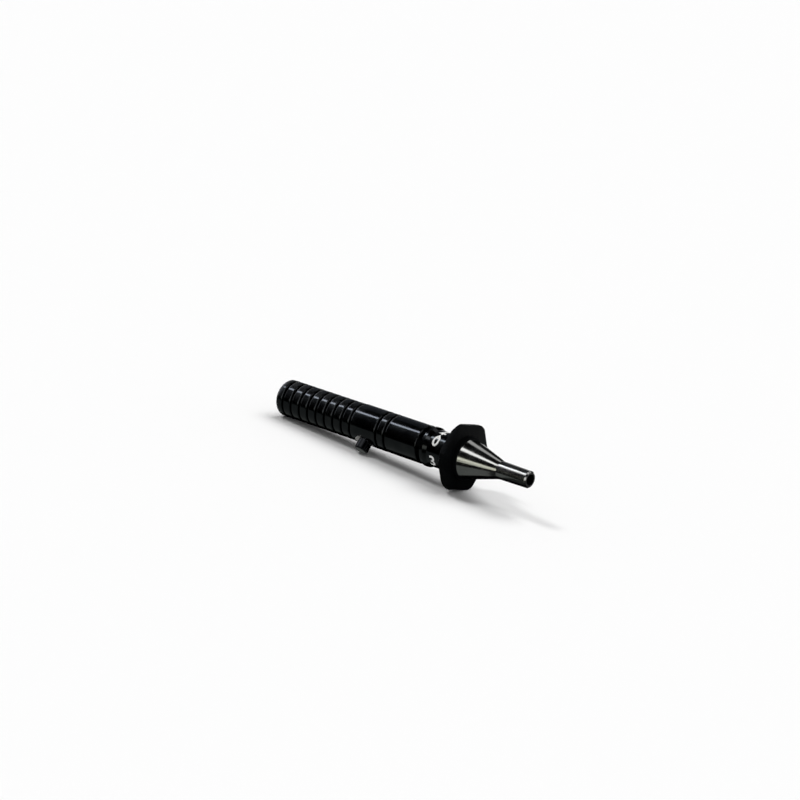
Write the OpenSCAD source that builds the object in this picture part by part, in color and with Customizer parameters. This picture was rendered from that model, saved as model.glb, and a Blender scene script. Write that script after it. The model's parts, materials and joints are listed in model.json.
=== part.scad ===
// Vacuum pick up nozzle for a surface-mount placement machine.
// A turned shank with sealing grooves and a driving pin, a six-sided plate and a polished tip.
// Each piece is drawn standing on its rear end, along +Z, with the driving pin towards +X.
// rest() then lays the nozzle on its side, as it comes to rest on a table.

/* [Shank] */
// Diameter of the long guiding land
land_d = 3.0; // [2.6:0.05:3.6]
// How much smaller the grooved rear section is than the long land, in diameter
rib_relief = 0.06; // [0:0.02:0.2]
// How much larger the front collar is than the long land, in diameter
collar_step = 0.1; // [0.02:0.02:0.3]
// Diameter of the plain neck between the collar and the plate
neck_d = 2.84; // [2.7:0.02:2.9]
// Diameter of the vacuum bore through the shank
bore_d = 1.2; // [0.9:0.05:1.3]
// Rounding of the rear end
rear_round = 0.3; // [0.1:0.05:0.4]
// Chamfer on the edges of the lands
edge_chamfer = 0.05; // [0.02:0.01:0.1]

/* [Sealing grooves] */
// Number of grooves in the rear section
groove_count = 9; // [4:1:11]
// Width of each groove
groove_w = 0.22; // [0.15:0.01:0.35]
// Width of each rib between two grooves
rib_w = 0.68; // [0.5:0.02:0.9]
// Depth of every groove in the shank, below the long land
groove_depth = 0.3; // [0.2:0.02:0.4]

/* [Lands] */
// Length of the land that holds the driving pin
pin_land_l = 2.5; // [2.2:0.1:3.5]
// Length of the narrow ring land in front of it
ring_land_l = 0.62; // [0.4:0.02:1]
// Length of the long guiding land
long_land_l = 3.12; // [2:0.02:5]
// Width of the groove between the long land and the collar
collar_groove_w = 0.42; // [0.2:0.02:0.6]
// Length of the collar's full diameter
collar_l = 0.3; // [0.2:0.02:0.6]
// Length of the collar's front cone
collar_cone_l = 0.32; // [0.1:0.02:0.5]
// Length of the plain neck
neck_l = 2.2; // [1.6:0.1:3.5]

/* [Driving pin] */
// Diameter of the driving pin
pin_d = 1.1; // [0.8:0.05:1.2]
// Distance from the nozzle's axis to the end of the pin
pin_reach = 2.18; // [2:0.02:2.6]
// Chamfer on the pin's free end
pin_chamfer = 0.1; // [0.05:0.01:0.15]
// Width of the countersunk seat round the pin
seat_rim = 0.36; // [0.2:0.02:0.42]

/* [Plate] */
// Distance across the plate's flats
plate_flats = 4.94; // [4.4:0.02:5.4]
// Diameter of the circle that rounds the plate's corners
plate_corners = 5.44; // [5.42:0.02:6]
// Thickness of the plate
plate_t = 0.5; // [0.35:0.05:0.9]
// Chamfer round the plate's rear edge
plate_chamfer = 0.14; // [0.05:0.01:0.2]
// Diameter of the round boss in front of the plate
boss_d = 3.3; // [3.2:0.02:3.8]
// Height of the boss
boss_h = 0.4; // [0.25:0.05:0.8]
// Chamfer on the boss's front edge
boss_chamfer = 0.06; // [0.02:0.01:0.08]

/* [Tip] */
// Diameter of the cone where it seats on the boss
cone_d = 3.1; // [2.8:0.02:3.15]
// Length of the cone
cone_l = 3.05; // [2:0.05:4]
// Diameter of the tube where it leaves the cone
tube_root_d = 1.38; // [1.2:0.02:1.6]
// Outer diameter of the tube at its end
tube_d = 1.3; // [1.1:0.02:1.4]
// Length of the tube
tube_l = 2.7; // [1.5:0.05:4]
// Bevel round the tube's end
tube_bevel = 0.1; // [0.05:0.01:0.15]
// Diameter of the bore through the tip
tip_bore_d = 0.85; // [0.6:0.05:0.9]
// Diameter of the stem that is pressed into the shank
stem_d = 1.6; // [1.4:0.05:1.7]
// Length of that stem
stem_l = 2; // [1:0.1:2.6]

/* [Hidden] */
$fn = 96;

eps = 0.01;                       // overrun of a cut past the face that it opens
press_gap = 0.005;                // radial room round a pressed-in stem or pin
slip_gap = 0.02;                  // radial room between the plate and the shank's spigot
arc_steps = 8;                    // straight steps in a rounded edge of a turned profile
pin_wall = 0.15;                  // wall left between the pin's hole and the bore
spigot_wall = 0.28;               // wall of the shank's spigot round the stem
spigot_short = 0.06;              // how far the spigot stops short of the tip's shoulder
stem_room = 0.1;                  // room behind the stem at the bottom of its hole
mouth_chamfer = 0.12;             // chamfer at the rear mouth of the bore

land_r = land_d / 2;
rib_r = land_r - rib_relief / 2;
collar_r = land_r + collar_step / 2;
neck_r = neck_d / 2;
groove_r = land_r - groove_depth;
bore_r = bore_d / 2;
pin_r = pin_d / 2;
stem_r = stem_d / 2;
spigot_r = stem_r + spigot_wall;
boss_r = boss_d / 2;

// stations along the axis, counted from the rear face
rib_pitch = groove_w + rib_w;
pin_land_z = groove_count * rib_pitch;
pin_z = pin_land_z + pin_land_l / 2;
ring_land_z = pin_land_z + pin_land_l + groove_w;
long_land_z = ring_land_z + ring_land_l + groove_w;
collar_z = long_land_z + long_land_l + collar_groove_w;
neck_z = collar_z + collar_l + collar_cone_l;
plate_z = neck_z + neck_l;
boss_z = plate_z + plate_t;
shoulder_z = boss_z + boss_h;
tube_z = shoulder_z + cone_l;
tip_z = tube_z + tube_l;

pin_foot = bore_r + pin_wall;     // distance from the axis to the pin's inner end
seat_r = pin_r + seat_rim;        // radius of the countersink where it meets the land

// One land of a turned profile, from z0 to z1, with its two edges chamfered.
function land(z0, z1, r) = [
    [r - edge_chamfer, z0],
    [r, z0 + edge_chamfer],
    [r, z1 - edge_chamfer],
    [r - edge_chamfer, z1]
];

// The floor of a groove from z0 to z1.
function groove(z0, z1) = [[groove_r, z0], [groove_r, z1]];

// The rear end's rounded edge, from the end face out to the first rib.
function rear_edge() = [
    for (i = [0 : arc_steps])
        let (a = 90 * i / arc_steps)
        [rib_r - rear_round + rear_round * sin(a), rear_round - rear_round * cos(a)]
];

// The ribs of the sealing section. The first one starts with the rounded rear end.
function ribs() = [
    for (i = [0 : groove_count - 1])
        let (z0 = i * rib_pitch, z1 = z0 + rib_w)
        for (p = concat(i == 0 ? rear_edge() : [for (k = [0, 1]) land(z0, z1, rib_r)[k]],
                        [for (k = [2, 3]) land(z0, z1, rib_r)[k]],
                        groove(z1, z0 + rib_pitch)))
            p
];

// Outline of the whole shank, from the axis at the rear round to the axis at the front.
function shank_outline() = concat(
    [[0, 0]],
    ribs(),
    land(pin_land_z, pin_land_z + pin_land_l, land_r),
    groove(pin_land_z + pin_land_l, ring_land_z),
    land(ring_land_z, ring_land_z + ring_land_l, land_r),
    groove(ring_land_z + ring_land_l, long_land_z),
    land(long_land_z, long_land_z + long_land_l, land_r),
    groove(long_land_z + long_land_l, collar_z),
    [
        [collar_r - edge_chamfer, collar_z],
        [collar_r, collar_z + edge_chamfer],
        [collar_r, collar_z + collar_l],
        [neck_r, neck_z],
        [neck_r, plate_z],
        [spigot_r, plate_z],
        [spigot_r, shoulder_z - spigot_short],
        [0, shoulder_z - spigot_short]
    ]
);

// The vacuum bore, chamfered at the rear, and the wider hole for the tip's stem.
module shank_bore() {
    stem_hole_z = shoulder_z - stem_l - stem_room;
    translate([0, 0, -eps]) cylinder(r = bore_r, h = shoulder_z + 2 * eps);
    translate([0, 0, -eps])
        cylinder(r1 = bore_r + mouth_chamfer + eps, r2 = bore_r, h = mouth_chamfer + eps);
    translate([0, 0, stem_hole_z]) cylinder(r = stem_r + press_gap, h = shoulder_z);
}

// The driving pin's blind hole and the countersunk seat round it.
module pin_hole() {
    translate([0, 0, pin_z]) rotate([0, 90, 0]) {
        translate([0, 0, pin_foot]) cylinder(r = pin_r + press_gap, h = land_r);
        translate([0, 0, land_r - seat_rim]) cylinder(r1 = pin_r, r2 = seat_r, h = seat_rim);
        translate([0, 0, land_r - eps]) cylinder(r = seat_r, h = land_r);
    }
}

// The shank is turned in one piece.
module shank() {
    color("#1b1c1e") difference() {
        rotate_extrude() polygon(shank_outline());
        shank_bore();
        pin_hole();
    }
}

// The driving pin keys the nozzle in its holder. Its inner end seats on its hole's floor.
module driving_pin() {
    shaft_l = pin_reach - pin_chamfer - pin_foot;
    color("#141416") translate([0, 0, pin_z]) rotate([0, 90, 0]) translate([0, 0, pin_foot])
        rotate_extrude() polygon([
            [0, 0],
            [pin_r, 0],
            [pin_r, shaft_l],
            [pin_r - pin_chamfer, shaft_l + pin_chamfer],
            [0, shaft_l + pin_chamfer]
        ]);
}

// Cuts the rear chamfer along one flat of the plate.
module flat_chamfer_cut(turn) {
    rotate([0, 0, turn]) translate([plate_flats / 2 - plate_chamfer, 0, plate_z])
        rotate([0, 45, 0]) translate([0, -plate_corners, -plate_corners / 2])
            cube([plate_corners, 2 * plate_corners, plate_corners]);
}

// The plate has six flats, corners rounded to a circle, and a corner in line with the pin.
module plate() {
    corner_r = plate_corners / 2;
    color("#202224") difference() {
        union() {
            intersection() {
                translate([0, 0, plate_z])
                    cylinder(r = plate_flats / 2 / cos(30), h = plate_t, $fn = 6);
                rotate_extrude() polygon([
                    [0, plate_z],
                    [corner_r - plate_chamfer, plate_z],
                    [corner_r, plate_z + plate_chamfer],
                    [corner_r, boss_z],
                    [0, boss_z]
                ]);
            }
            translate([0, 0, plate_z + plate_t / 2])
                cylinder(r = boss_r, h = plate_t / 2 + boss_h - boss_chamfer);
            translate([0, 0, shoulder_z - boss_chamfer])
                cylinder(r1 = boss_r, r2 = boss_r - boss_chamfer, h = boss_chamfer);
        }
        for (i = [0 : 5]) flat_chamfer_cut(60 * i + 30);
        translate([0, 0, plate_z - eps])
            cylinder(r = spigot_r + slip_gap, h = plate_t + boss_h + 2 * eps);
    }
}

// The tip is turned and polished in one piece: stem, cone and tube, bored through.
module tip() {
    tube_r = tube_d / 2;
    color("#8d8f92") difference() {
        rotate_extrude() polygon([
            [0, shoulder_z - stem_l],
            [stem_r, shoulder_z - stem_l],
            [stem_r, shoulder_z],
            [cone_d / 2, shoulder_z],
            [tube_root_d / 2, tube_z],
            [tube_r, tip_z - tube_bevel],
            [tube_r - tube_bevel, tip_z],
            [0, tip_z]
        ]);
        translate([0, 0, shoulder_z - stem_l - eps])
            cylinder(r = tip_bore_d / 2, h = tip_z - shoulder_z + stem_l + 2 * eps);
    }
}

// How the nozzle lies. Three points touch the table: the rear end's rounded edge, the pin's
// end and a corner of the plate. The unknowns are the roll, which is the pin's angle from
// straight down, and the tilt, which is the axis's angle above the table.

// Angle from the middle of a plate corner to the end of its round part.
corner_half = 30 - acos(plate_flats / plate_corners);

// How far the plate reaches below the axis at a roll, at the rear chamfer's front edge.
function plate_drop(roll) =
    let (off = abs((roll + 30) % 60 - 30))
    plate_corners / 2 * cos(max(0, off - corner_half));

// Tilt at which the table touches both the rear edge and the plate.
function tilt_at(roll) =
    let (a = plate_drop(roll) - rib_r + rear_round, b = plate_z + plate_chamfer - rear_round)
    acos(rear_round / norm([a, b])) - atan2(b, a);

// Distance from the centre of the rear face down to the table.
function lift_at(tilt) = (rib_r - rear_round) * cos(tilt) - rear_round * sin(tilt) + rear_round;

// How far a ring round the pin, at a distance out along it, reaches below the rear face's centre.
function ring_drop(roll, tilt, out, r) =
    out * cos(roll) * cos(tilt) - pin_z * sin(tilt) + r * norm([sin(roll) * cos(tilt), sin(tilt)]);

// How far the pin's end goes under the table. It is nothing at rest.
function pin_sink(roll) =
    let (tilt = tilt_at(roll))
    max(ring_drop(roll, tilt, pin_reach, pin_r - pin_chamfer),
        ring_drop(roll, tilt, pin_reach - pin_chamfer, pin_r)) - lift_at(tilt);

// Roll at rest, found by halving the range between two rolls.
function rest_roll(low, high, steps) =
    let (middle = (low + high) / 2)
    steps == 0 ? middle
    : pin_sink(middle) > 0 ? rest_roll(middle, high, steps - 1)
    : rest_roll(low, middle, steps - 1);

roll = rest_roll(15, 80, 30);
tilt = tilt_at(roll);
lift = lift_at(tilt);

// ends of the nozzle along the table, so that the origin can stand in the middle
rear_x = rear_round * cos(tilt) - (rib_r - rear_round) * sin(tilt) - rear_round;
tip_x = tip_z * cos(tilt) + (tube_d / 2 - tube_bevel) * sin(tilt);

// Lays the nozzle down with its tip towards +X and its pin towards -Y.
module rest() {
    translate([-(rear_x + tip_x) / 2, 0, lift])
        rotate([0, -tilt, 0])
            rotate([-roll, 0, 0])
                rotate([0, 90, 0])
                    children();
}

rest() shank();
rest() driving_pin();
rest() plate();
rest() tip();
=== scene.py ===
"""Looks of a vacuum pick up nozzle for a surface-mount placement machine.

Every piece is modelled in millimetres, standing on its rear face with its axis along +Z and its
driving pin towards +X. The resting place, read from the frame's mounts, then lays its mesh down
on the table, in metres, where the frame has it.
"""

import json
import logging
import math
from dataclasses import dataclass, field
from enum import Enum
from typing import Callable, Iterable

import bpy
from mathutils import Matrix, Quaternion, Vector


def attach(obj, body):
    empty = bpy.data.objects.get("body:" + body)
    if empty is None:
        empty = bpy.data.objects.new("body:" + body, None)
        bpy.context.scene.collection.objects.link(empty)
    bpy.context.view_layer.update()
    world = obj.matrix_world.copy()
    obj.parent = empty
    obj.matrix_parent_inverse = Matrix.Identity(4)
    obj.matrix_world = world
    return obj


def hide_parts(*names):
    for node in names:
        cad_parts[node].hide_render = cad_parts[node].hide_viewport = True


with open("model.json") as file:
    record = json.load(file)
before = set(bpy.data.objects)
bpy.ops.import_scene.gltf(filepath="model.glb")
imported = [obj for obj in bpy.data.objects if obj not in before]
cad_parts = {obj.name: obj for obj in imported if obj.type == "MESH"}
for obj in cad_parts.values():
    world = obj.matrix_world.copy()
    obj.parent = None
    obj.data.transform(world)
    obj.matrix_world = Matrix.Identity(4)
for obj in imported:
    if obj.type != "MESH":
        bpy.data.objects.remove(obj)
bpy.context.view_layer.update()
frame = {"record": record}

MM = 0.001

# Lengths below are in mm. Points closer than MERGE are one point of a mesh.
MERGE = 0.0005
# A cutting plane takes points this near as lying on it.
ON_PLANE = 0.0002
# A face whose middle is this near a surface belongs to it.
NEAR = 0.01
# Side of the plane that is merged to an outline's first point.
SEED = 0.1
# Edges of turned pieces that bend less than this, in degrees, are shaded smooth.
SOFT_BEND = 10.0

Point = tuple[float, float]

log = logging.getLogger("nozzle")


# ---------------------------------------------------------------- colours and nodes


def linear(hex_colour: str) -> tuple[float, float, float, float]:
    """Turns an sRGB hex colour into the linear colour that a shader takes.

    Args:
        hex_colour: Six hex digits, with or without a leading hash.

    Returns:
        Red, green, blue and an alpha of 1.
    """
    digits = hex_colour.lstrip("#")
    parts = [int(digits[i : i + 2], 16) / 255 for i in (0, 2, 4)]
    red, green, blue = (
        c / 12.92 if c <= 0.04045 else ((c + 0.055) / 1.055) ** 2.4 for c in parts
    )
    return red, green, blue, 1.0


def add_node(
    tree: bpy.types.NodeTree,
    kind: str,
    settings: dict[str, object] | None = None,
    inputs: dict[object, object] | None = None,
) -> bpy.types.Node:
    """Adds a node with its settings, and sets or links its inputs.

    Args:
        tree: The node tree that gets the node.
        kind: The node's type name.
        settings: Attributes of the node itself.
        inputs: Values for its inputs by name or number; an output socket there is linked.

    Returns:
        The new node.
    """
    node = tree.nodes.new(kind)
    for name, value in (settings or {}).items():
        setattr(node, name, value)
    for key, value in (inputs or {}).items():
        socket = node.inputs[key]
        if isinstance(value, bpy.types.NodeSocket):
            tree.links.new(value, socket)
        else:
            socket.default_value = value
    return node


def blank_material(name: str) -> tuple[bpy.types.Material, bpy.types.NodeTree]:
    """Makes a material with nothing but its output node.

    Args:
        name: The material's name.

    Returns:
        The material and its node tree.
    """
    material = bpy.data.materials.new(name)
    material.use_nodes = True
    tree = material.node_tree
    tree.nodes.clear()
    return material, tree


def finish_with(tree: bpy.types.NodeTree, surface: bpy.types.NodeSocket) -> None:
    """Leads a shader to the material's output.

    Args:
        tree: The material's node tree.
        surface: The shader's output socket.
    """
    add_node(tree, "ShaderNodeOutputMaterial", inputs={"Surface": surface})


# ---------------------------------------------------------------- where the nozzle lies


@dataclass(frozen=True)
class Resting:
    """The nozzle's place on the table, in metres.

    Args:
        rear: Middle of the rear face.
        axis: Direction from the rear face to the tip.
        pin: Direction in which the driving pin points.
    """

    rear: Vector
    axis: Vector
    pin: Vector

    @classmethod
    def from_record(cls, mounts: list[dict], mouth: float) -> "Resting":
        """Reads the place from the frame's mounts.

        Args:
            mounts: The record's list of mounts.
            mouth: Length of the chamfer behind the vacuum bore's straight wall, in mm.

        Returns:
            The resting place.
        """
        named = {m["name"]: m for m in mounts}
        bore = named["vacuum_bore"]
        back = Vector(bore["axis"]).normalized()
        half = bore["dims"]["length_mm"] / 2 + mouth
        rear = Vector(bore["pos_m"]) + back * half * MM
        pin = Vector(named["driving_pin_end"]["axis"])
        pin = (pin - back * pin.dot(back)).normalized()
        return cls(rear=rear, axis=-back, pin=pin)

    def matrix(self) -> Matrix:
        """Returns the matrix from a standing piece in mm to its place in metres."""
        side = self.axis.cross(self.pin)
        turn = Matrix((self.pin, side, self.axis)).transposed().to_4x4()
        return Matrix.Translation(self.rear) @ turn @ Matrix.Scale(MM, 4)

    def lay(self, piece: bpy.types.Object) -> None:
        """Puts the resting place into the piece's mesh and leaves its object at the origin.

        Args:
            piece: A finished mesh object, standing, in mm.
        """
        piece.data.transform(self.matrix() @ piece.matrix_basis)
        piece.matrix_basis = Matrix.Identity(4)
        piece.data.update()


# ---------------------------------------------------------------- modelling by hand


def only(piece: bpy.types.Object) -> None:
    """Selects one object alone and makes it the active one.

    Args:
        piece: The object.
    """
    bpy.ops.object.select_all(action="DESELECT")
    piece.select_set(True)
    bpy.context.view_layer.objects.active = piece


def turned(name: str, outline: Iterable[Point], steps: int) -> bpy.types.Object:
    """Turns a piece: one point is extruded along a closed outline, which is spun round +Z.

    Args:
        name: The piece's name.
        outline: Points (radius, height) in mm, in order; the last is joined to the first.
        steps: Steps in a full turn.

    Returns:
        The piece, closed, with its faces pointing outwards.
    """
    stations = list(outline)
    first = stations[0]
    bpy.ops.object.select_all(action="DESELECT")
    bpy.ops.mesh.primitive_plane_add(size=SEED, location=(first[0], 0, first[1]))
    piece = bpy.context.object
    piece.name = name
    bpy.ops.object.transform_apply(location=True)
    bpy.ops.object.mode_set(mode="EDIT")
    bpy.ops.mesh.select_all(action="SELECT")
    bpy.ops.mesh.merge(type="CENTER")
    for (r0, z0), (r1, z1) in zip(stations, stations[1:] + [first]):
        bpy.ops.mesh.extrude_region_move(
            TRANSFORM_OT_translate={"value": (r1 - r0, 0, z1 - z0)}
        )
    bpy.ops.mesh.select_all(action="SELECT")
    bpy.ops.mesh.remove_doubles(threshold=MERGE)
    bpy.ops.mesh.spin(steps=steps, angle=2 * math.pi, center=(0, 0, 0), axis=(0, 0, 1))
    bpy.ops.mesh.select_all(action="SELECT")
    bpy.ops.mesh.remove_doubles(threshold=MERGE)
    bpy.ops.mesh.normals_make_consistent(inside=False)
    bpy.ops.object.mode_set(mode="OBJECT")
    return piece


def smooth(piece: bpy.types.Object, degrees: float) -> None:
    """Shades a piece smooth, with edges sharper than an angle left crisp.

    Args:
        piece: The piece.
        degrees: The angle.
    """
    only(piece)
    bpy.ops.object.shade_smooth_by_angle(angle=math.radians(degrees))


def arc(centre: Point, radius: float, start: float, end: float, steps: int) -> list[Point]:
    """Returns points along an arc of an outline.

    Args:
        centre: The arc's centre, as (radius, height).
        radius: The arc's radius in mm.
        start: Angle of the first point in degrees, counted from +radius towards +height.
        end: Angle of the last point.
        steps: Straight steps between them.
    """
    angles = (math.radians(start + (end - start) * i / steps) for i in range(steps + 1))
    return [(centre[0] + radius * math.cos(a), centre[1] + radius * math.sin(a)) for a in angles]


def hand_over(piece: bpy.types.Object, node: str | None) -> None:
    """Lets a finished piece ride on the frame and stand for its CAD node.

    Args:
        piece: The finished piece, in place.
        node: The CAD node that it replaces, if any.
    """
    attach(piece, "root")
    if node:
        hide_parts(node)
    log.info("%s: %d faces", piece.name, len(piece.data.polygons))


# ---------------------------------------------------------------- finishes


def along(tree: bpy.types.NodeTree, axis: Vector) -> bpy.types.NodeSocket:
    """Returns each point's distance along an axis, in metres, from its object coordinates.

    Args:
        tree: The material's node tree.
        axis: The axis.
    """
    place = add_node(tree, "ShaderNodeTexCoord")
    dot = add_node(
        tree,
        "ShaderNodeVectorMath",
        {"operation": "DOT_PRODUCT"},
        {0: place.outputs["Object"], 1: tuple(axis)},
    )
    return dot.outputs["Value"]


def blend(
    tree: bpy.types.NodeTree,
    noise: bpy.types.NodeSocket,
    span: tuple[float, float],
    colours: tuple[str, str],
) -> bpy.types.NodeSocket:
    """Blends two colours by a noise.

    Args:
        tree: The material's node tree.
        noise: The noise's output.
        span: Noise values up to which the first and from which the second colour is full.
        colours: The two colours, sRGB hex.

    Returns:
        The blended colour.
    """
    node = add_node(tree, "ShaderNodeValToRGB", None, {"Fac": noise})
    for element, position, colour in zip(node.color_ramp.elements, span, colours):
        element.position, element.color = position, linear(colour)
    return node.outputs["Color"]


@dataclass(frozen=True)
class TurnedSteel:
    """A turned steel surface: rings left by the tool, and a finish that varies a little.

    Args:
        name: The finish's name.
        colour: Base colour, sRGB hex.
        rub_colour: Colour where handling has rubbed the surface, sRGB hex.
        roughness: Least and most roughness.
        ring_mm: Spacing of the tool's rings.
        ring_depth_mm: Depth of the rings.
        axis: The axis that the surface was turned round.
        metallic: Share of clean metal; the rest of the colour is matt, which gives the pin's seat
            its near-white painted glint.
        cloud_mm: Size of the patches where the finish varies.
        ring_share: How much the rings add to the patches in the roughness.
        rough_span: Noise values that give the least and the most roughness.
        rub_span: Noise values where the rubbed colour begins and where it is full.
    """

    name: str
    colour: str
    rub_colour: str
    roughness: tuple[float, float]
    ring_mm: float
    ring_depth_mm: float
    axis: Vector
    metallic: float = 1.0
    cloud_mm: float = 0.9
    ring_share: float = 0.35
    rough_span: tuple[float, float] = (0.45, 0.95)
    rub_span: tuple[float, float] = (0.42, 0.75)

    def material(self) -> bpy.types.Material:
        """Builds the material."""
        material, tree = blank_material(self.name)
        place = add_node(tree, "ShaderNodeTexCoord")
        rings = add_node(
            tree,
            "ShaderNodeTexNoise",
            {"noise_dimensions": "1D"},
            {
                "W": along(tree, self.axis),
                "Scale": 1 / (self.ring_mm * MM),
                "Detail": 3.0,
                "Roughness": 0.6,
            },
        )
        clouds = add_node(
            tree,
            "ShaderNodeTexNoise",
            None,
            {"Vector": place.outputs["Object"], "Scale": 1 / (self.cloud_mm * MM), "Detail": 4.0},
        )
        both = add_node(
            tree,
            "ShaderNodeMath",
            {"operation": "MULTIPLY_ADD"},
            {0: rings.outputs["Fac"], 1: self.ring_share, 2: clouds.outputs["Fac"]},
        )
        rough = add_node(
            tree,
            "ShaderNodeMapRange",
            None,
            {
                "Value": both.outputs[0],
                "From Min": self.rough_span[0],
                "From Max": self.rough_span[1],
                "To Min": self.roughness[0],
                "To Max": self.roughness[1],
            },
        )
        colour = blend(tree, clouds.outputs["Fac"], self.rub_span, (self.colour, self.rub_colour))
        bump = add_node(
            tree,
            "ShaderNodeBump",
            None,
            {"Height": rings.outputs["Fac"], "Strength": 1.0, "Distance": self.ring_depth_mm * MM},
        )
        shader = add_node(
            tree,
            "ShaderNodeBsdfPrincipled",
            None,
            {
                "Base Color": colour,
                "Metallic": self.metallic,
                "Roughness": rough.outputs["Result"],
                "Normal": bump.outputs["Normal"],
            },
        )
        finish_with(tree, shader.outputs["BSDF"])
        return material


@dataclass(frozen=True)
class MattBlack:
    """Fine matt black moulding: a dull skin with a very fine grain and a faint sheen.

    Args:
        name: The finish's name.
        colour: Base colour, sRGB hex.
        pale_colour: Colour of the slightly paler patches, sRGB hex.
        roughness: Least and most roughness.
        grain_mm: Size of the grain.
        grain_depth_mm: Depth of the grain.
        sheen: Level of the clear reflection.
        patch_mm: Size of the paler patches.
        pale_span: Noise values where the paler colour begins and where it is full.
        grain_span: Noise values that give the least and the most roughness.
    """

    name: str
    colour: str
    pale_colour: str
    roughness: tuple[float, float]
    grain_mm: float
    grain_depth_mm: float
    sheen: float
    patch_mm: float = 1.4
    pale_span: tuple[float, float] = (0.35, 0.8)
    grain_span: tuple[float, float] = (0.3, 0.7)

    def material(self) -> bpy.types.Material:
        """Builds the material."""
        material, tree = blank_material(self.name)
        place = add_node(tree, "ShaderNodeTexCoord").outputs["Object"]
        grain = add_node(
            tree,
            "ShaderNodeTexNoise",
            None,
            {"Vector": place, "Scale": 1 / (self.grain_mm * MM), "Detail": 2.0},
        )
        patches = add_node(
            tree,
            "ShaderNodeTexNoise",
            None,
            {"Vector": place, "Scale": 1 / (self.patch_mm * MM), "Detail": 5.0},
        )
        shades = (self.colour, self.pale_colour)
        colour = blend(tree, patches.outputs["Fac"], self.pale_span, shades)
        rough = add_node(
            tree,
            "ShaderNodeMapRange",
            None,
            {
                "Value": grain.outputs["Fac"],
                "From Min": self.grain_span[0],
                "From Max": self.grain_span[1],
                "To Min": self.roughness[0],
                "To Max": self.roughness[1],
            },
        )
        bump = add_node(
            tree,
            "ShaderNodeBump",
            None,
            {"Height": grain.outputs["Fac"], "Strength": 1.0, "Distance": self.grain_depth_mm * MM},
        )
        shader = add_node(
            tree,
            "ShaderNodeBsdfPrincipled",
            None,
            {
                "Base Color": colour,
                "Roughness": rough.outputs["Result"],
                "Specular IOR Level": self.sheen,
                "Normal": bump.outputs["Normal"],
            },
        )
        finish_with(tree, shader.outputs["BSDF"])
        return material


@dataclass(frozen=True)
class PrintedWhite:
    """White marking ink: opaque and dull, a little thin in places.

    Args:
        name: The finish's name.
        colour: The ink's colour, sRGB hex.
        thin_colour: Its colour where it is thin, sRGB hex.
        spot_mm: Size of the thin spots.
        thin_span: Noise values up to which the ink is thin and from which it is full.
        roughness: Its roughness.
    """

    name: str
    colour: str
    thin_colour: str
    spot_mm: float = 0.12
    thin_span: tuple[float, float] = (0.25, 0.45)
    roughness: float = 0.6

    def material(self) -> bpy.types.Material:
        """Builds the material."""
        material, tree = blank_material(self.name)
        place = add_node(tree, "ShaderNodeTexCoord").outputs["Object"]
        spots = add_node(
            tree,
            "ShaderNodeTexNoise",
            None,
            {"Vector": place, "Scale": 1 / (self.spot_mm * MM), "Detail": 3.0},
        )
        shades = (self.thin_colour, self.colour)
        colour = blend(tree, spots.outputs["Fac"], self.thin_span, shades)
        shader = add_node(
            tree,
            "ShaderNodeBsdfPrincipled",
            None,
            {"Base Color": colour, "Roughness": self.roughness},
        )
        finish_with(tree, shader.outputs["BSDF"])
        return material


# ---------------------------------------------------------------- the nozzle's pieces


class ShankFinish(Enum):
    """The shank's finishes, numbered as its material slots."""

    COAT = 0
    BARE = 1
    BORE = 2


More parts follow.
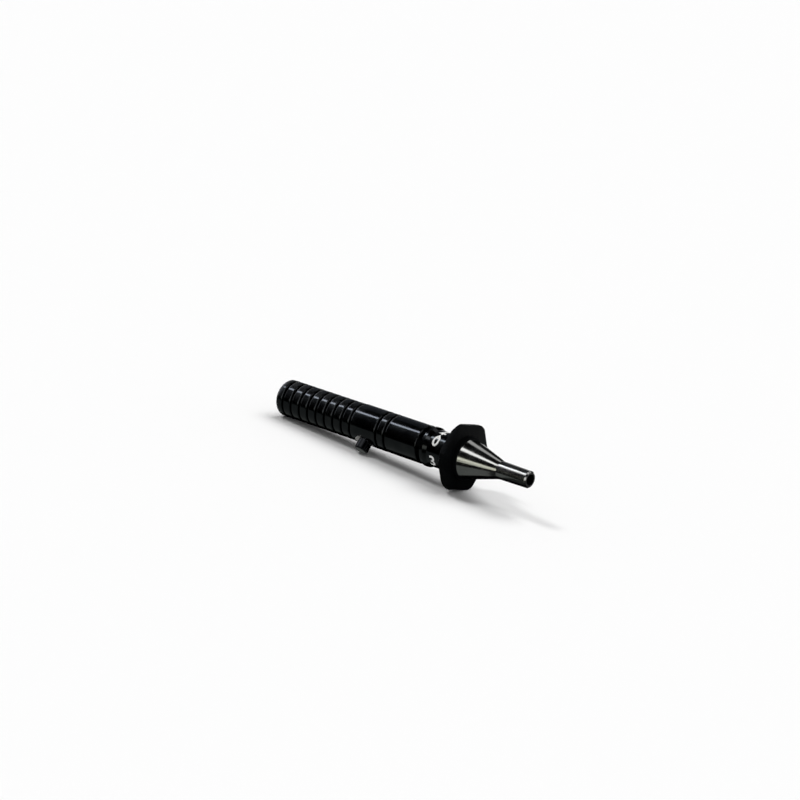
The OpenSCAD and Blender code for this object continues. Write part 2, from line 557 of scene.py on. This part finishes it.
@dataclass
class Shank:
    """The turned shank: ribs, lands, collar, neck, vacuum bore and the driving pin's seat.

    All sizes are in mm and heights are counted from the rear face. The two slacks keep the
    rim of the seat's faces and the land round it apart when the finishes are given out.
    """

    land_r: float = 1.5
    rib_r: float = 1.47
    collar_r: float = 1.55
    neck_r: float = 1.42
    groove_r: float = 1.2
    bore_r: float = 0.6
    mouth: float = 0.12
    rear_round: float = 0.3
    chamfer: float = 0.05
    edge_round: float = 0.09
    rib_count: int = 9
    rib_w: float = 0.68
    groove_w: float = 0.22
    pin_land: tuple[float, float] = (8.1, 10.6)
    ring_land: tuple[float, float] = (10.82, 11.44)
    long_land: tuple[float, float] = (11.66, 14.78)
    collar_z: float = 15.2
    collar_end: float = 15.5
    neck_z: float = 15.82
    plate_z: float = 18.02
    spigot_r: float = 1.08
    spigot_end: float = 18.86
    stem_hole_z: float = 16.82
    stem_hole_r: float = 0.805
    pin_z: float = 9.35
    pin_foot: float = 0.75
    pin_r: float = 0.55
    pin_gap: float = 0.005
    seat_rim: float = 0.36
    seat_slack: float = 0.002
    land_slack: float = 0.003
    drill_past: float = 0.6
    seat_merge: float = 0.0004
    round_steps: int = 12
    edge_steps: int = 4
    drill_steps: int = 128
    steps: int = 192

    def land(self, z0: float, z1: float, radius: float) -> list[Point]:
        """Returns one land's outline, with both edges rounded.

        Args:
            z0: Height of its rear edge.
            z1: Height of its front edge.
            radius: The land's radius.
        """
        e = self.edge_round
        rear = arc((radius - e, z0 + e), e, -90, 0, self.edge_steps)
        return rear + arc((radius - e, z1 - e), e, 0, 90, self.edge_steps)

    def ribs(self) -> list[Point]:
        """Returns the sealing section's outline; its first rib starts with the rounded end."""
        pitch = self.rib_w + self.groove_w
        r = self.rear_round
        points = arc((self.rib_r - r, r), r, -90, 0, self.round_steps)
        for i in range(self.rib_count):
            z0 = i * pitch
            z1 = z0 + self.rib_w
            edge = self.land(z0, z1, self.rib_r)
            points += edge[len(edge) // 2 :] if i == 0 else edge
            points += [(self.groove_r, z1), (self.groove_r, z0 + pitch)]
        return points

    def outline(self) -> list[Point]:
        """Returns the closed outline: the outside to the front, then the bore to the rear."""
        g = self.groove_r
        c = self.chamfer
        points = self.ribs()
        points += self.land(*self.pin_land, self.land_r)
        points += [(g, self.pin_land[1]), (g, self.ring_land[0])]
        points += self.land(*self.ring_land, self.land_r)
        points += [(g, self.ring_land[1]), (g, self.long_land[0])]
        points += self.land(*self.long_land, self.land_r)
        points += [(g, self.long_land[1]), (g, self.collar_z)]
        points += [
            (self.collar_r - c, self.collar_z),
            (self.collar_r, self.collar_z + c),
            (self.collar_r, self.collar_end),
            (self.neck_r, self.neck_z),
            (self.neck_r, self.plate_z),
            (self.spigot_r, self.plate_z),
            (self.spigot_r, self.spigot_end),
            (self.stem_hole_r, self.spigot_end),
            (self.stem_hole_r, self.stem_hole_z),
            (self.bore_r, self.stem_hole_z),
            (self.bore_r, self.mouth),
            (self.bore_r + self.mouth, 0.0),
        ]
        return points

    def pin_cutter(self) -> bpy.types.Object:
        """Returns the drill for the pin's hole and countersunk seat, pointing along +X."""
        hole_r = self.pin_r + self.pin_gap
        seat_r = self.pin_r + self.seat_rim
        drill = turned(
            "pin_drill",
            [
                (0.0, self.pin_foot),
                (hole_r, self.pin_foot),
                (hole_r, self.land_r - self.seat_rim + self.pin_gap),
                (seat_r, self.land_r),
                (seat_r, self.land_r + self.drill_past),
                (0.0, self.land_r + self.drill_past),
            ],
            self.drill_steps,
        )
        drill.data.transform(
            Matrix.Translation((0, 0, self.pin_z)) @ Matrix.Rotation(math.radians(90), 4, "Y")
        )
        return drill

    def build(self) -> bpy.types.Object:
        """Turns the shank and drills the pin's seat.

        Returns:
            The shank, standing.
        """
        piece = turned("shank_turned", self.outline(), self.steps)
        drill = self.pin_cutter()
        only(piece)
        cut = piece.modifiers.new("pin_seat", "BOOLEAN")
        cut.operation = "DIFFERENCE"
        cut.solver = "EXACT"
        cut.object = drill
        bpy.ops.object.modifier_apply(modifier=cut.name)
        bpy.data.objects.remove(drill)
        bpy.ops.object.mode_set(mode="EDIT")
        bpy.ops.mesh.select_all(action="SELECT")
        bpy.ops.mesh.remove_doubles(threshold=self.seat_merge)
        bpy.ops.mesh.normals_make_consistent(inside=False)
        bpy.ops.object.mode_set(mode="OBJECT")
        return piece

    def finish_of(self, face: bpy.types.MeshPolygon) -> ShankFinish:
        """Tells a face's finish from its place.

        Args:
            face: A face of the standing shank.

        Returns:
            The finish.
        """
        x, y, z = face.center
        radius = math.hypot(x, y)
        seat_r = self.pin_r + self.seat_rim - self.seat_slack
        by_pin = x > self.pin_foot - NEAR and math.hypot(y, z - self.pin_z) < seat_r
        if by_pin and radius < self.land_r - self.land_slack:
            # The cut seat: bare steel, painted near white as a glint.
            return ShankFinish.BARE
        inwards = face.normal.dot(Vector((x, y, 0))) < 0
        if radius < self.stem_hole_r + NEAR and inwards:
            return ShankFinish.BORE
        return ShankFinish.COAT

    def dress(
        self,
        piece: bpy.types.Object,
        coat: bpy.types.Material,
        bare_and_glint: bpy.types.Material,
        bore: bpy.types.Material,
    ) -> None:
        """Gives the shank its black coat, the cut seat its near-white steel that also paints a
        glint, and the bore its own steel.

        Args:
            piece: The shank, standing.
            coat: The black coat.
            bare_and_glint: The freshly cut steel of the pin's seat, near white and mostly matt: a
                painted glint.
            bore: The dull steel inside the bore.
        """
        for material in (coat, bare_and_glint, bore):
            piece.data.materials.append(material)
        for face in piece.data.polygons:
            face.material_index = self.finish_of(face).value
        smooth(piece, SOFT_BEND)


@dataclass
class DrivingPin:
    """The driving pin: a ground dowel with a chamfered end. Sizes are in mm."""

    radius: float = 0.55
    foot: float = 0.75
    reach: float = 2.18
    chamfer: float = 0.1
    height: float = 9.35
    steps: int = 128

    def build(self) -> bpy.types.Object:
        """Turns the pin and points it along +X.

        Returns:
            The pin, in its place in the standing nozzle.
        """
        piece = turned(
            "driving_pin_ground",
            [
                (0.0, self.foot),
                (self.radius, self.foot),
                (self.radius, self.reach - self.chamfer),
                (self.radius - self.chamfer, self.reach),
                (0.0, self.reach),
            ],
            self.steps,
        )
        piece.data.transform(
            Matrix.Translation((0, 0, self.height)) @ Matrix.Rotation(math.radians(90), 4, "Y")
        )
        return piece

    def dress(self, piece: bpy.types.Object, steel: bpy.types.Material) -> None:
        """Gives the pin its finish.

        Args:
            piece: The pin.
            steel: Its finish.
        """
        piece.data.materials.append(steel)
        smooth(piece, SOFT_BEND)


@dataclass
class Plate:
    """The six-sided plate with its round boss. Sizes are in mm, angles in degrees."""

    flats: float = 4.94
    corners: float = 5.44
    z0: float = 18.02
    z1: float = 18.52
    shoulder: float = 18.92
    chamfer: float = 0.14
    boss_r: float = 1.65
    boss_chamfer: float = 0.06
    hole_r: float = 1.1
    edge_r: float = 0.03
    edge_steps: int = 3
    sides: int = 6
    crisp: float = 30.0
    soft_bend: float = 20.0
    steps: int = 216

    def build(self) -> bpy.types.Object:
        """Turns the plate and its boss, then cuts six flats.

        The flats leave the turned chamfer at the corners only.

        Returns:
            The plate, standing.
        """
        corner_r = self.corners / 2
        piece = turned(
            "plate_moulded",
            [
                (self.hole_r, self.z0),
                (corner_r - self.chamfer, self.z0),
                (corner_r, self.z0 + self.chamfer),
                (corner_r, self.z1),
                (self.boss_r, self.z1),
                (self.boss_r, self.shoulder - self.boss_chamfer),
                (self.boss_r - self.boss_chamfer, self.shoulder),
                (self.hole_r, self.shoulder),
            ],
            self.steps,
        )
        bpy.ops.object.mode_set(mode="EDIT")
        for i in range(self.sides):
            a = 2 * math.pi * (i + 0.5) / self.sides
            out = Vector((math.cos(a), math.sin(a), 0))
            bpy.ops.mesh.select_all(action="SELECT")
            bpy.ops.mesh.bisect(
                plane_co=out * self.flats / 2,
                plane_no=out,
                use_fill=True,
                clear_outer=True,
                threshold=ON_PLANE,
            )
        bpy.ops.mesh.select_all(action="SELECT")
        bpy.ops.mesh.remove_doubles(threshold=MERGE)
        bpy.ops.mesh.normals_make_consistent(inside=False)
        bpy.ops.object.mode_set(mode="OBJECT")
        return piece

    def dress(self, piece: bpy.types.Object, black: bpy.types.Material) -> None:
        """Breaks the plate's edges and gives it its finish.

        Args:
            piece: The plate.
            black: Its finish.
        """
        only(piece)
        edge = piece.modifiers.new("broken_edges", "BEVEL")
        edge.width = self.edge_r
        edge.segments = self.edge_steps
        edge.limit_method = "ANGLE"
        edge.angle_limit = math.radians(self.crisp)
        bpy.ops.object.modifier_apply(modifier=edge.name)
        piece.data.materials.append(black)
        smooth(piece, self.soft_bend)


class TipFinish(Enum):
    """The tip's finishes, numbered as its material slots."""

    POLISH = 0
    BORE = 1


@dataclass
class Tip:
    """The polished tip: stem, cone and tube, bored through. Sizes are in mm."""

    stem_z: float = 16.92
    stem_r: float = 0.8
    shoulder: float = 18.92
    cone_r: float = 1.55
    tube_z: float = 21.97
    tube_root_r: float = 0.69
    tube_r: float = 0.65
    end_z: float = 24.67
    bevel: float = 0.1
    bore_r: float = 0.425
    steps: int = 192

    def build(self) -> bpy.types.Object:
        """Turns the tip.

        Returns:
            The tip, standing.
        """
        return turned(
            "tip_polished",
            [
                (self.bore_r, self.stem_z),
                (self.stem_r, self.stem_z),
                (self.stem_r, self.shoulder),
                (self.cone_r, self.shoulder),
                (self.tube_root_r, self.tube_z),
                (self.tube_r, self.end_z - self.bevel),
                (self.tube_r - self.bevel, self.end_z),
                (self.bore_r, self.end_z),
            ],
            self.steps,
        )

    def dress(
        self, piece: bpy.types.Object, steel: bpy.types.Material, bore: bpy.types.Material
    ) -> None:
        """Gives the tip its polish outside, and a dull dark bore and end face: painted shade in the
        bore, a painted dark reflection on the end face.

        Args:
            piece: The tip, standing.
            steel: The polish.
            bore: The dark finish of the bore and the end face.
        """
        for material in (steel, bore):
            piece.data.materials.append(material)
        for face in piece.data.polygons:
            # The bore and the end face take the dark finish: painted shade and a painted dark
            # reflection.
            inside = math.hypot(face.center.x, face.center.y) < self.bore_r + NEAR
            at_end = face.center.z > self.end_z - NEAR
            finish = TipFinish.BORE if inside or at_end else TipFinish.POLISH
            face.material_index = finish.value
        smooth(piece, SOFT_BEND)


@dataclass
class NeckFigures:
    """Plain figures printed round the neck. Sizes are in mm and turns in degrees.

    The height of a capital is cap_share of the type's size.
    """

    figures: str = "2103"
    turns: tuple[float, ...] = (-139.0, -115.0, -90.0, -22.0)
    height: float = 0.86
    middle: float = 16.4
    neck_r: float = 1.42
    thickness: float = 0.006
    boldness: float = 0.02
    cap_share: float = 0.7
    curve_steps: int = 6
    cuts: int = 2

    def figure(self, text: str, turn: float) -> bpy.types.Object:
        """Makes one figure and wraps it round the neck.

        Args:
            text: The figure.
            turn: Where its middle stands round the neck, from the pin.

        Returns:
            The figure's mesh, standing.
        """
        bpy.ops.object.select_all(action="DESELECT")
        bpy.ops.object.text_add(location=(0, 0, 0))
        piece = bpy.context.object
        piece.data.body = text
        piece.data.size = self.height / self.cap_share
        piece.data.align_x = "CENTER"
        piece.data.align_y = "CENTER"
        piece.data.extrude = self.thickness
        piece.data.offset = self.boldness
        piece.data.resolution_u = self.curve_steps
        bpy.ops.object.convert(target="MESH")
        piece = bpy.context.object
        bpy.ops.object.mode_set(mode="EDIT")
        bpy.ops.mesh.select_all(action="SELECT")
        bpy.ops.mesh.remove_doubles(threshold=MERGE)
        bpy.ops.mesh.subdivide(number_cuts=self.cuts)
        bpy.ops.object.mode_set(mode="OBJECT")
        for vertex in piece.data.vertices:
            across, up, out = vertex.co
            angle = math.radians(turn) - up / self.neck_r
            radius = self.neck_r + out
            vertex.co = (radius * math.cos(angle), radius * math.sin(angle), self.middle + across)
        return piece

    def build(self) -> bpy.types.Object:
        """Makes all figures as one piece.

        Returns:
            The figures, standing.
        """
        made = [self.figure(f, t) for f, t in zip(self.figures, self.turns)]
        bpy.ops.object.select_all(action="DESELECT")
        for piece in made:
            piece.select_set(True)
        bpy.context.view_layer.objects.active = made[0]
        bpy.ops.object.join()
        piece = bpy.context.object
        piece.name = "neck_figures"
        bpy.ops.object.mode_set(mode="EDIT")
        bpy.ops.mesh.select_all(action="SELECT")
        bpy.ops.mesh.normals_make_consistent(inside=False)
        bpy.ops.object.mode_set(mode="OBJECT")
        return piece

    def dress(self, piece: bpy.types.Object, ink: bpy.types.Material) -> None:
        """Gives the figures their ink.

        Args:
            piece: The figures.
            ink: The ink.
        """
        piece.data.materials.clear()
        piece.data.materials.append(ink)


# ---------------------------------------------------------------- studio


def card_of(
    name: str, colour: str, strength: float, cuts: int, place: Callable[[float, float], Vector]
) -> bpy.types.Object:
    """Makes a plain glowing card that nothing but reflections see, a painted reflection, and stages
    it.

    Args:
        name: The card's name.
        colour: Its colour, sRGB hex.
        strength: Its light; 0 is a black card.
        cuts: Cuts across each way, for a card that is curved.
        place: Gives a point's place in mm from its shares, 0 to 1, of the two sides.

    Returns:
        The card.
    """
    bpy.ops.object.select_all(action="DESELECT")
    bpy.ops.mesh.primitive_plane_add(size=1, location=(0, 0, 0))
    card = bpy.context.object
    card.name = name
    if cuts:
        bpy.ops.object.mode_set(mode="EDIT")
        bpy.ops.mesh.select_all(action="SELECT")
        bpy.ops.mesh.subdivide(number_cuts=cuts)
        bpy.ops.object.mode_set(mode="OBJECT")
    for vertex in card.data.vertices:
        vertex.co = place(vertex.co.x + 0.5, vertex.co.y + 0.5) * MM
    material, tree = blank_material(name)
    light = {"Color": linear(colour), "Strength": strength}
    glow = add_node(tree, "ShaderNodeEmission", None, light)
    finish_with(tree, glow.outputs["Emission"])
    card.data.materials.append(material)
    card.visible_camera = False
    card.visible_diffuse = False
    card.visible_shadow = False
    card.visible_transmission = False
    return card


class Reach(Enum):
    """Where a card begins and ends along X, in mm, by what shows its reflection."""

    ALL = (-525.0, 150.0)
    BACK = (200.0, 900.0)
    BEYOND = (-900.0, -530.0)
    SHANK = (-470.0, -350.0)
    TUBE = (-349.0, -240.0)
    CONE = (-215.0, 80.0)


@dataclass(frozen=True)
class Card:
    """A curved glowing card along X, round the table's middle, seen only in reflections: bright
    cards paint highlights there and black ones paint dark bands. Lengths are in mm, angles in
    degrees.

    Args:
        name: The card's name.
        low: Angle of one long edge above the front horizon; 90 is straight up, 180 the back.
        high: Angle of the other long edge.
        reach: Which piece's reflections it serves, which sets its two ends along X.
        strength: Its light.
        colour: Its colour, sRGB hex.
        radius: Distance from the X axis.
        cuts: Cuts across it each way.
    """

    name: str
    low: float
    high: float
    reach: Reach
    strength: float = 0.0
    colour: str = "#ffffff"
    radius: float = 450.0
    cuts: int = 23

    def place(self, along_x: float, around: float) -> Vector:
        """Returns the place in mm of a point at a share of the length and of the angle."""
        start, end = self.reach.value
        angle = math.radians(self.low + around * (self.high - self.low))
        x = start + along_x * (end - start)
        return Vector((x, -self.radius * math.cos(angle), self.radius * math.sin(angle)))

    def build(self) -> bpy.types.Object:
        """Hangs the card."""
        return card_of(self.name, self.colour, self.strength, self.cuts, self.place)


@dataclass(frozen=True)
class FloorCard:
    """A flat card just above the floor, seen only in reflections: grey and black cards paint the
    shaded floor there, cream ones paint bright bands. Lengths are in mm.

    Args:
        name: The card's name.
        x: Its left and right edges.
        y: Its near and far edges.
        strength: Its light.
        colour: Its colour, sRGB hex.
        height: Its height above the floor.
    """

    name: str
    x: tuple[float, float]
    y: tuple[float, float]
    strength: float = 0.0
    colour: str = "#ffffff"
    height: float = 0.02

    def place(self, right: float, back: float) -> Vector:
        """Returns the place in mm of a point at shares of the two sides."""
        x = self.x[0] + right * (self.x[1] - self.x[0])
        y = self.y[0] + back * (self.y[1] - self.y[0])
        return Vector((x, y, self.height))

    def build(self) -> bpy.types.Object:
        """Lays the card."""
        return card_of(self.name, self.colour, self.strength, 0, self.place)


@dataclass
class Studio:
    """Floor, world, lamps, cards that paint reflections, and camera. Lengths are in mm and angles
    in degrees.
    """

    floor_half: float = 1500.0
    floor_drop: float = 0.002
    floor_colour: str = "#f5f5f5"
    floor_roughness: float = 0.9
    world_light: float = 0.34
    world_shown: float = 1.0
    azimuth: float = 38.83
    elevation: float = 14.59
    roll: float = 11.02
    view_angle: float = 20.0
    sensor: float = 36.0
    clip: tuple[float, float] = (5.0, 10000.0)
    distance: float = 172.4
    aim: tuple[float, float, float] = (-1.054, 0.054, 4.798)
    # Painted reflections: glowing and black cards that paint the highlights and dark bands on the
    # shank, tube and cone.
    cards: list[Card] = field(
        default_factory=lambda: [
            Card("black_surround", 0.0, 180.0, Reach.ALL, radius=500.0),
            Card("painted_highlight_strip", 66.5, 76.0, Reach.SHANK, 11.0, "#f2f6ff"),
            Card("painted_highlight_spill", 36.0, 64.0, Reach.SHANK, 0.09, "#e6ebf5"),
            Card("painted_rear_reflection", 108.0, 178.0, Reach.SHANK, 0.14, "#dce4f4"),
            Card("painted_rear_highlight", 20.0, 125.0, Reach.BEYOND, 3.0, "#f2f6ff"),
            Card("back_low", 112.0, 152.0, Reach.BACK, 0.02, "#e6ebf5"),
            Card("back_high", 34.0, 92.0, Reach.BACK, 0.02, "#e6ebf5"),
            Card("tube_strip", 50.0, 77.0, Reach.TUBE, 1.3),
            Card("tube_edge", 146.0, 178.0, Reach.TUBE, 0.45),
            Card("cone_strip", 46.0, 62.0, Reach.CONE, 1.8),
            Card("cone_top", 104.0, 126.0, Reach.CONE, 0.6),
            Card("cone_cream", 0.0, 9.0, Reach.CONE, 1.3, "#f2f3e3"),
        ]
    )
    # Painted reflections of the floor: grey and black cards paint the shade round and under the
    # nozzle, and cream cards paint bright bands on the tip.
    floor_cards: list[FloorCard] = field(
        default_factory=lambda: [
            FloorCard("near_shank", (-70.0, 3.5), (-7.0, -0.9), 0.23, "#f2faf5"),
            FloorCard("far_shank", (-1500.0, 5.2), (-1500.0, -7.0)),
            FloorCard("under", (-40.0, 20.0), (-0.9, 9.0)),
            FloorCard("near_cone", (3.5, 8.8), (-5.0, -0.9), 0.12, "#f2faf5"),
            FloorCard("near_tube", (8.8, 70.0), (-5.0, -0.9), 0.02, "#f2faf5"),
            FloorCard("far_right", (80.0, 700.0), (-700.0, -30.0)),
            FloorCard("horizon_tip", (3.5, 70.0), (-13.0, -5.0)),
            FloorCard("cream_near", (5.2, 80.0), (-30.0, -13.0), 1.0, "#f2f3e3", 0.04),
            FloorCard("cream_middle", (1.0, 80.0), (-60.0, -30.0), 1.0, "#f2f3e3", 0.04),
            FloorCard("cream_far", (-15.0, 80.0), (-150.0, -60.0), 1.1, "#f2f3e3", 0.04),
            FloorCard("cream_last", (-45.0, 80.0), (-450.0, -150.0), 1.1, "#f2f3e3", 0.04),
        ]
    )

    def floor(self) -> bpy.types.Object:
        """Lays the pale floor."""
        bpy.ops.object.select_all(action="DESELECT")
        bpy.ops.mesh.primitive_plane_add(
            size=2 * self.floor_half * MM, location=(0, 0, -self.floor_drop * MM)
        )
        floor = bpy.context.object
        floor.name = "floor"
        material, tree = blank_material("pale_floor")
        shader = add_node(
            tree,
            "ShaderNodeBsdfPrincipled",
            None,
            {
                "Base Color": linear(self.floor_colour),
                "Roughness": self.floor_roughness,
                "Specular IOR Level": 0.0,
            },
        )
        finish_with(tree, shader.outputs["BSDF"])
        floor.data.materials.append(material)
        return floor

    def world(self) -> None:
        """Makes the world white to the eye and to metal, and softer as a light."""
        world = bpy.data.worlds.new("white_surround")
        bpy.context.scene.world = world
        world.use_nodes = True
        tree = world.node_tree
        tree.nodes.clear()
        path = add_node(tree, "ShaderNodeLightPath")
        seen = add_node(
            tree,
            "ShaderNodeMath",
            {"operation": "MAXIMUM"},
            {0: path.outputs["Is Camera Ray"], 1: path.outputs["Is Glossy Ray"]},
        )
        seen = add_node(
            tree,
            "ShaderNodeMath",
            {"operation": "MAXIMUM"},
            {0: seen.outputs[0], 1: path.outputs["Is Transmission Ray"]},
        )
        white = linear("#ffffff")
        light, shown = (
            add_node(tree, "ShaderNodeBackground", None, {"Color": white, "Strength": strength})
            for strength in (self.world_light, self.world_shown)
        )
        mix = add_node(
            tree,
            "ShaderNodeMixShader",
            None,
            {0: seen.outputs[0], 1: light.outputs[0], 2: shown.outputs[0]},
        )
        add_node(tree, "ShaderNodeOutputWorld", inputs={"Surface": mix.outputs[0]})

    def lamp(
        self, name: str, towards: tuple[float, float, float], angle: float, strength: float
    ) -> bpy.types.Object:
        """Hangs a far soft lamp, which lights the whole floor evenly and is in no reflection.

        Args:
            name: The lamp's name.
            towards: Direction towards the lamp.
            angle: Its apparent size in degrees, which sets how soft its shadows are.
            strength: Its strength in watts per square metre.
        """
        bpy.ops.object.light_add(type="SUN", location=Vector(towards) * MM)
        lamp = bpy.context.object
        lamp.name = name
        lamp.data.energy = strength
        lamp.data.angle = math.radians(angle)
        lamp.rotation_mode = "QUATERNION"
        lamp.rotation_quaternion = Vector(towards).to_track_quat("Z", "Y")
        lamp.visible_glossy = False
        return lamp

    def lamps(self) -> None:
        """Hangs the key lamp from the upper left and a large soft fill from above and behind."""
        self.lamp("key", (-260.0, -97.0, 338.0), 16.0, 0.9)
        self.lamp("fill", (20.0, 230.0, 460.0), 46.0, 1.82)

    def camera(self) -> bpy.types.Object:
        """Sets up the camera."""
        a, e = math.radians(self.azimuth), math.radians(self.elevation)
        back = Vector((math.sin(a) * math.cos(e), -math.cos(a) * math.cos(e), math.sin(e)))
        data = bpy.data.cameras.new("camera")
        camera = bpy.data.objects.new("camera", data)
        bpy.context.scene.collection.objects.link(camera)
        data.sensor_width = self.sensor
        data.lens = self.sensor / 2 / math.tan(math.radians(self.view_angle / 2))
        data.clip_start, data.clip_end = (limit * MM for limit in self.clip)
        camera.location = (Vector(self.aim) + back * self.distance) * MM
        camera.rotation_mode = "QUATERNION"
        level = (-back).to_track_quat("-Z", "Y")
        camera.rotation_quaternion = Quaternion(back, math.radians(self.roll)) @ level
        bpy.context.scene.camera = camera
        return camera

    def build(self) -> None:
        """Sets up the whole studio."""
        self.floor()
        self.world()
        self.lamps()
        for card in self.cards + self.floor_cards:
            card.build()
        self.camera()
        bpy.context.scene.view_settings.view_transform = "Standard"


def main() -> None:
    """Builds, dresses and lays down every piece of the nozzle, then the studio."""
    logging.basicConfig(level=logging.INFO, format="%(name)s: %(message)s")
    bpy.ops.object.select_all(action="DESELECT")
    shank = Shank()
    resting = Resting.from_record(frame["record"]["mounts"], shank.mouth)

    # Turned alloy steel with a glossy black coat: near black, with crisp mirror-like bands.
    black = TurnedSteel(
        "blackened_turned_steel", "#303234", "#3a3c3d", (0.1, 0.2), 0.045, 0.0004, resting.axis
    ).material()
    # The same steel cut after coating: bright metal with fine rings, near white and mostly matt, so
    # it also paints a white glint beside the pin.
    bare_and_glint = TurnedSteel(
        "bare_steel_and_painted_glint", "#f8f6f2", "#fcfbf8", (0.3, 0.45), 0.03, 0.0003, resting.pin, 0.15
    ).material()
    # Dull dark grey steel for the bores, near the coat's own colour in the shank; on the bright tip
    # it is painted shade in the bore and a painted dark reflection on the end face.
    bore = TurnedSteel(
        "dark_bore_steel_and_painted_shade", "#2a2a2b", "#343434", (0.4, 0.55), 0.05, 0.002, resting.axis
    ).material()
    # Ground dowel steel, blackened: the smoothest of the black parts.
    dowel = TurnedSteel(
        "ground_black_steel", "#1f2022", "#26272a", (0.09, 0.15), 0.03, 0.0003, resting.pin
    ).material()
    # Hardened steel, ground and polished: a grey mirror with very faint lengthwise softness.
    polished = TurnedSteel(
        "polished_hard_steel", "#b9b9b7", "#c2c2c0", (0.13, 0.22), 0.04, 0.00008, resting.axis
    ).material()
    # Moulded engineering plastic, filled black: dull, with a faint cold sheen.
    matt = MattBlack(
        "moulded_black_plastic", "#050607", "#090b0d", (0.42, 0.55), 0.035, 0.0025, 0.03
    ).material()
    # Marking ink: flat white.
    ink = PrintedWhite("white_marking_ink", "#f4f4f2", "#cfcfcd").material()

    pieces = (
        (shank, (black, bare_and_glint, bore), "shank", "blackened_steel"),
        (DrivingPin(), (dowel,), "driving_pin", "black_pin_steel"),
        (Plate(), (matt,), "plate", "matt_black_plastic"),
        (Tip(), (polished, bore), "tip", "polished_steel"),
        (NeckFigures(), (ink,), None, None),
    )
    for maker, finishes, node, slot in pieces:
        piece = maker.build()
        maker.dress(piece, *finishes)
        resting.lay(piece)
        hand_over(piece, node)

    Studio().build()


if __name__ == "__main__":
    main()
